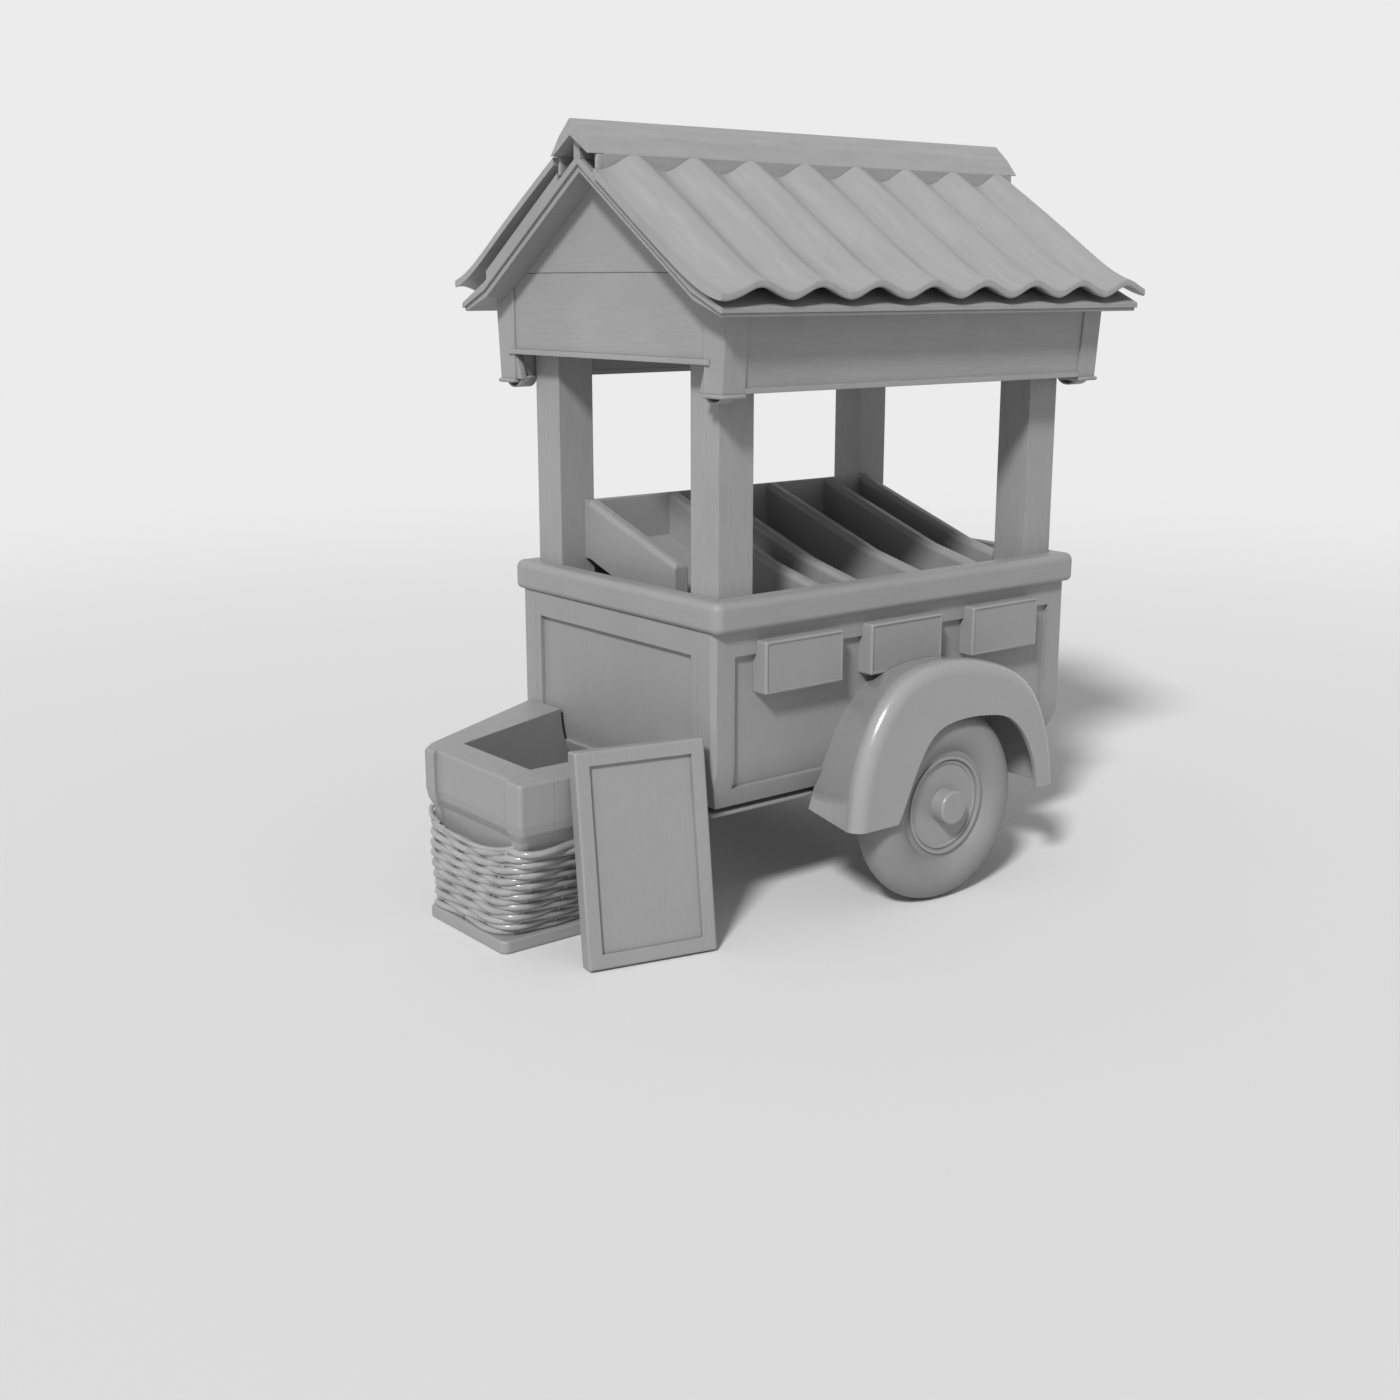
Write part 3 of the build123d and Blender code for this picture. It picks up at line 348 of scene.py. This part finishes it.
paintUpright = timberFinish("paintUpright", "z", paintLook)
paintLong = timberFinish("paintLong", "x", paintLook)
paintCross = timberFinish("paintCross", "y", paintLook)
timberUpright = timberFinish("timberUpright", "z", timberLook)
timberLong = timberFinish("timberLong", "x", timberLook)
timberCross = timberFinish("timberCross", "y", timberLook)
roofMetal = metalFinish("roofMetal", roofLook, metalSkin["downSlope"])
capMetal = metalFinish("capMetal", roofLook, metalSkin["alongRidge"])
fenderPaint = metalFinish("fenderPaint", fenderLook)
wheelPaint = metalFinish("wheelPaint", wheelLook)
axleSteel = metalFinish("axleSteel", axleLook)

finishOf = {
    paintUpright: ["tub_side_left", "tub_side_right", "tub_end_front", "tub_end_rear", "tub_stiles",
                   "price_boxes", "crate_front", "crate_left", "crate_right", "board_frame",
                   "board_panel"],
    paintLong: ["tub_floor", "tub_skid", "rim_sides", "bin_back", "crate_base"],
    paintCross: ["rim_ends", "bin_floor", "bin_ends", "bin_dividers"],
    timberUpright: ["posts", "corner_boards"],
    timberLong: ["roof_plates", "valance_boards", "ridge_board", "soffit_left", "soffit_right",
                 "roof_deck_left", "roof_deck_right"],
    timberCross: ["gable_lower", "gable_upper", "gable_trims"],
    roofMetal: ["roof_sheet_left", "roof_sheet_right"],
    capMetal: ["ridge_cap"],
    fenderPaint: ["fender_left", "fender_right"],
    axleSteel: ["axle"],
    tyreRubber: ["tyre_left", "tyre_right"],
    wheelPaint: ["wheel_disc_left", "wheel_disc_right", "hubcap_left", "hubcap_right"],
    varnishedCane: ["wicker_band"],
}
for finish, names in finishOf.items():
    for name in names:
        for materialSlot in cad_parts[name].material_slots:
            materialSlot.material = finish
print("finishes assigned:", sum(len(names) for names in finishOf.values()), "nodes")

# Wicker: rows of cane woven in and out of upright stakes round three sides of the crate
band = {
    "lowZ": 0.040,
    "topZ": 0.340,
    "low": {"front": -1.320, "left": -0.235, "right": 0.180, "corner": 0.020, "round": 0.100},
    "top": {"front": -1.344, "left": -0.384, "right": 0.173, "corner": 0.044, "round": 0.080},
    "rear": -0.726, "bend": -1.288, "splay": 0.533, "splayInset": 1.13, "frontBend": 0.030,
    "sideBend": 0.045, "longestReach": 0.46, "arcSteps": 8,
    "sagBehind": -1.30, "sagStart": -0.30, "sagLength": 0.47, "sagLean": 0.85,
}
weave = {"rows": 16, "cane": 0.0112, "weave": 0.0082, "clear": 0.001, "step": 0.0125, "sides": 3,
         "weld": 0.00002, "rowFoot": 0.011, "rowHead": 0.010, "stake": 0.0065, "stakeGap": 0.118,
         "firstStake": 0.05, "stakeHead": 0.012, "sag": 0.036, "sagPower": 1.6,
         "swingLeast": 0.55, "swingMore": 0.45, "swingRise": 3, "swingFoot": 0.35,
         "drift": (7, 3.1, 0.4), "driftOut": 0.0012, "lift": (5, 1.7, 2.2), "liftShift": 20,
         "wobble": 0.0020, "turnThick": 0.07, "driftThick": 0.10}


def bandOutline(height, inset):
    # The band's outline at a share of its height: rear left, round the front, to rear right
    low, top = band["low"], band["top"]
    at = {key: low[key] + (top[key] - low[key]) * height for key in low}
    front, left = at["front"] + inset, at["left"] + inset
    bendX = front + at["corner"]
    farLine = [at["right"] - inset * band["splayInset"] + band["splay"] * (x - band["bend"])
               for x in (bendX, band["rear"])]
    corners = [(band["rear"], left, 0), (front, left, at["round"] - inset),
               (front, farLine[0] - at["corner"], band["frontBend"]),
               (bendX, farLine[0], band["sideBend"]), (band["rear"], farLine[1], 0)]
    path = []
    for number, (x, y, radius) in enumerate(corners):
        here = Vector((x, y))
        if radius == 0:
            path.append(here)
            continue
        back = (Vector(corners[number - 1][:2]) - here).normalized()
        ahead = (Vector(corners[number + 1][:2]) - here).normalized()
        reach = radius / math.tan(back.angle(ahead) / 2)
        leg = (Vector(corners[number + 1][:2]) - here).length
        reach = min(reach, leg * band["longestReach"])
        start, end = here + back * reach, here + ahead * reach
        for arcStep in range(band["arcSteps"] + 1):
            part = arcStep / band["arcSteps"]
            path.append(start * (1 - part) ** 2 + here * 2 * part * (1 - part) + end * part ** 2)
    return path


def evenSteps(path, step):
    # Points at even steps along a path, each with its distance and its outward direction
    lengths = [(b - a).length for a, b in zip(path, path[1:])]
    total = sum(lengths)
    count = round(total / step)
    steps, run, leg = [], 0.0, 0
    for number in range(count + 1):
        goal = total * number / count
        while leg < len(lengths) - 1 and run + lengths[leg] < goal:
            run += lengths[leg]
            leg += 1
        ahead = (path[leg + 1] - path[leg]).normalized()
        steps.append((goal, path[leg] + ahead * (goal - run), Vector((ahead.y, -ahead.x))))
    return steps


def canePiece(name, paths):
    # One mesh from several round canes; each path is a list of (point, radius)
    curve = bpy.data.curves.new(name, "CURVE")
    curve.dimensions = "3D"
    curve.bevel_depth = 1.0
    curve.bevel_resolution = weave["sides"]
    curve.use_fill_caps = True
    for path in paths:
        spline = curve.splines.new("POLY")
        spline.points.add(len(path) - 1)
        for knot, (point, radius) in zip(spline.points, path):
            knot.co = (*point, 1)
            knot.radius = radius
    holder = bpy.data.objects.new(name + "Route", curve)
    scene.collection.objects.link(holder)
    depsgraph = bpy.context.evaluated_depsgraph_get()
    mesh = bpy.data.meshes.new_from_object(holder.evaluated_get(depsgraph))
    bpy.data.objects.remove(holder)
    mesh.materials.clear()
    shape = bmesh.new()
    shape.from_mesh(mesh)
    bmesh.ops.remove_doubles(shape, verts=shape.verts, dist=weave["weld"])
    return meshFrom(name, shape)


def topSag(point):
    # How far the top edge dips, from 0 to 1: along the front only, most a little left of its middle
    if point.x > band["sagBehind"]:
        return 0.0
    share = max(0.0, min(1.0, (point.y - band["sagStart"]) / band["sagLength"]))
    return math.sin(math.pi * share ** band["sagLean"])


inset = weave["cane"] + weave["weave"] + weave["clear"]
lowZ, topZ = band["lowZ"], band["topZ"]
caneRows = []
for row in range(weave["rows"]):
    height = row / (weave["rows"] - 1)
    z = lowZ + weave["rowFoot"] + (topZ - lowZ - weave["rowFoot"] - weave["rowHead"]) * height
    swingShare = (weave["swingLeast"]
                  + weave["swingMore"] * min(1, height * weave["swingRise"] + weave["swingFoot"]))
    cane = []
    for along, point, outward in evenSteps(bandOutline(height, inset), weave["step"]):
        turn = math.pi * ((along - weave["firstStake"]) / weave["stakeGap"] + row)
        driftX, driftY, driftZ = weave["drift"]
        drift = noise.noise(Vector((along * driftX, row * driftY, driftZ)))
        swing = math.cos(turn) * weave["weave"] * swingShare
        place = point + outward * (swing + drift * weave["driftOut"])
        sag = weave["sag"] * height ** weave["sagPower"] * topSag(point)
        liftX, liftY, liftZ = weave["lift"]
        liftPlace = Vector((along * liftX + weave["liftShift"], row * liftY, liftZ))
        lift = noise.noise(liftPlace) * weave["wobble"]
        radius = weave["cane"] * (1 + weave["turnThick"] * math.cos(turn)
                                  + weave["driftThick"] * drift)
        cane.append(((cartX + place.x, place.y, z - sag + lift), radius))
    caneRows.append(cane)

stakes = []
lowSteps = evenSteps(bandOutline(0, inset), weave["step"])
topSteps = evenSteps(bandOutline(1, inset), weave["step"])
stakeCount = int((lowSteps[-1][0] - weave["firstStake"]) / weave["stakeGap"])
for number in range(stakeCount + 1):
    along = weave["firstStake"] + number * weave["stakeGap"]
    low = min(lowSteps, key=lambda step: abs(step[0] - along))[1]
    top = min(topSteps, key=lambda step: abs(step[0] - along))[1]
    head = topZ - weave["stakeHead"] - weave["sag"] * topSag(top)
    tip = low + (top - low) * ((head - lowZ) / (topZ - lowZ))
    stakes.append([((cartX + low.x, low.y, lowZ), weave["stake"]),
                   ((cartX + tip.x, tip.y, head), weave["stake"])])

# Loose ends at the top: one runs into the pocket by the near stile, two loop up at the far corner
looseCane = {"radius": 0.0072, "steps": 8, "endShare": 0.72, "swell": 0.28, "blunt": 0.6}
looseRoutes = {
    "stileEnd": [(-1.336, 0.095, 0.322), (-1.336, 0.00, 0.312), (-1.336, -0.09, 0.308),
                 (-1.334, -0.16, 0.309), (-1.330, -0.23, 0.318), (-1.320, -0.29, 0.333),
                 (-1.303, -0.325, 0.348)],
    "farLoop": [(-1.325, 0.075, 0.318), (-1.328, 0.112, 0.334), (-1.316, 0.135, 0.352),
                (-1.296, 0.128, 0.366), (-1.284, 0.104, 0.360), (-1.280, 0.080, 0.334),
                (-1.282, 0.060, 0.305)],
    "farHoop": [(-1.332, 0.098, 0.314), (-1.318, 0.126, 0.336), (-1.300, 0.118, 0.358),
                (-1.286, 0.085, 0.372), (-1.278, 0.055, 0.352), (-1.276, 0.035, 0.320)],
}


def smoothRoute(points):
    # A Catmull-Rom run through a few places, thinner at its ends
    knots = [Vector(p) for p in points]
    knots = [knots[0] * 2 - knots[1]] + knots + [knots[-1] * 2 - knots[-2]]
    route = []
    for a, b, c, d in zip(knots, knots[1:], knots[2:], knots[3:]):
        for number in range(looseCane["steps"]):
            t = number / looseCane["steps"]
            point = 0.5 * ((2 * b) + (c - a) * t + (2 * a - 5 * b + 4 * c - d) * t * t
                           + (3 * b - a - 3 * c + d) * t ** 3)
            route.append(point)
    route.append(knots[-2])
    last = len(route) - 1
    placed = []
    for number, point in enumerate(route):
        thick = math.sin(math.pi * number / last) ** looseCane["blunt"]
        radius = looseCane["radius"] * (looseCane["endShare"] + looseCane["swell"] * thick)
        placed.append(((cartX + point.x, point.y, point.z), radius))
    return placed


loose = [smoothRoute(points) for points in looseRoutes.values()]
wicker = placePiece("wickerWeave", canePiece("wickerWeave", caneRows + stakes + loose), varnishedCane)
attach(wicker, "cart")
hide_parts("wicker_band")
print("wicker woven:", len(caneRows), "rows,", len(stakes), "stakes")

# Corner fittings under the corner boards: a foot plate, a gusset, and a curled strip
fitting = {"boardSize": 0.080, "footY": 0.553, "plateThick": 0.012, "plateLip": 0.008,
           "plateRound": 0.005, "gussetReach": 0.026, "gussetRise": 0.075, "gussetThick": 0.024,
           "gussetInset": 0.004, "curlY": 0.4995, "curlRise": 0.0255, "curlRadius": 0.0475,
           "curlThick": 0.005, "curlWidth": 0.056, "curlStart": -41.6, "curlTurn": 118,
           "round": 0.0018, "weld": 0.00005}
boardLow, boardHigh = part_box("corner_boards")
boardSize, footY = fitting["boardSize"], fitting["footY"]
plateLip, plateThick = fitting["plateLip"], fitting["plateThick"]
plates = bmesh.new()
gussets = bmesh.new()
curls = bmesh.new()
for turnX, edgeX in ((-1, boardLow.x), (1, boardHigh.x)):
    for turnY in (-1, 1):
        footX = edgeX - turnX * boardSize / 2
        plate = bmesh.ops.create_cube(plates, size=1)["verts"]
        bmesh.ops.scale(plates, verts=plate,
                        vec=(boardSize + plateLip, boardSize + plateLip, plateThick))
        bmesh.ops.translate(plates, verts=plate, vec=(
            footX + turnX * plateLip / 2, turnY * (footY - boardSize / 2 + plateLip / 2),
            boardLow.z - plateThick / 2))

        innerY = turnY * (footY - boardSize)
        gussetX = edgeX - turnX * fitting["gussetInset"]
        triangle = [gussets.verts.new(p) for p in (
            (gussetX, innerY, boardLow.z),
            (gussetX, innerY - turnY * fitting["gussetReach"], boardLow.z),
            (gussetX, innerY, boardLow.z + fitting["gussetRise"]))]
        side = gussets.faces.new(triangle)
        grown = bmesh.ops.extrude_face_region(gussets, geom=[side])["geom"]
        bmesh.ops.translate(gussets, verts=[v for v in grown if isinstance(v, bmesh.types.BMVert)],
                            vec=(-turnX * fitting["gussetThick"], 0, 0))

        # The curl leaves the plate's underside, dips, and rises inside the board
        pivot = Vector((footX, turnY * fitting["curlY"], boardLow.z + fitting["curlRise"]))
        half = fitting["curlWidth"] / 2
        lean = math.radians(fitting["curlStart"])
        section = []
        for dx, out in ((-half, 0), (half, 0), (half, fitting["curlThick"]),
                        (-half, fitting["curlThick"])):
            reach = fitting["curlRadius"] + out
            offset = Vector((dx, turnY * reach * math.cos(lean), reach * math.sin(lean)))
            section.append(curls.verts.new(pivot + offset))
        edges = [curls.edges.new(pair) for pair in zip(section, section[1:] + section[:1])]
        bmesh.ops.spin(curls, geom=section + edges, cent=pivot, axis=(1, 0, 0),
                       angle=math.radians(-turnY * fitting["curlTurn"]), steps=14,
                       use_merge=False, use_duplicate=False)
for shape in (plates, gussets, curls):
    bmesh.ops.remove_doubles(shape, verts=shape.verts, dist=fitting["weld"])
bmesh.ops.bevel(plates, geom=list(plates.edges), offset=fitting["plateRound"], affect="EDGES",
                segments=3, profile=0.5, material=-1)
bmesh.ops.bevel(gussets, geom=list(gussets.edges), offset=fitting["round"], affect="EDGES",
                segments=2, profile=0.5, material=-1)
bmesh.ops.holes_fill(curls, edges=curls.edges)
for name, shape in (("cornerFeet", plates), ("cornerGussets", gussets), ("cornerCurls", curls)):
    piece = placePiece(name, meshFrom(name, shape), timberUpright)
    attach(piece, "cart")
print("corner fittings made")

# Fillers that close the cap's lip out to the gable ends, one at each of its four corners
filler = {"fromEnd": 0.024, "length": 0.025, "wide": 0.012, "tall": 0.0512, "round": 0.0025}
capLow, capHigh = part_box("ridge_cap")
fillers = bmesh.new()
for turnX, endX in ((-1, capLow.x), (1, capHigh.x)):
    for turnY in (-1, 1):
        block = bmesh.ops.create_cube(fillers, size=1)["verts"]
        bmesh.ops.scale(fillers, verts=block, vec=(filler["length"], filler["wide"], filler["tall"]))
        bmesh.ops.translate(fillers, verts=block, vec=(
            endX - turnX * (filler["fromEnd"] + filler["length"] / 2),
            turnY * (capHigh.y - filler["wide"] / 2), capLow.z + filler["tall"] / 2))
bmesh.ops.bevel(fillers, geom=list(fillers.edges), offset=filler["round"], affect="EDGES",
                segments=2, profile=0.5, material=-1)
capFillers = placePiece("capFillers", meshFrom("capFillers", fillers), capMetal)
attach(capFillers, "cart")
print("cap fillers made")
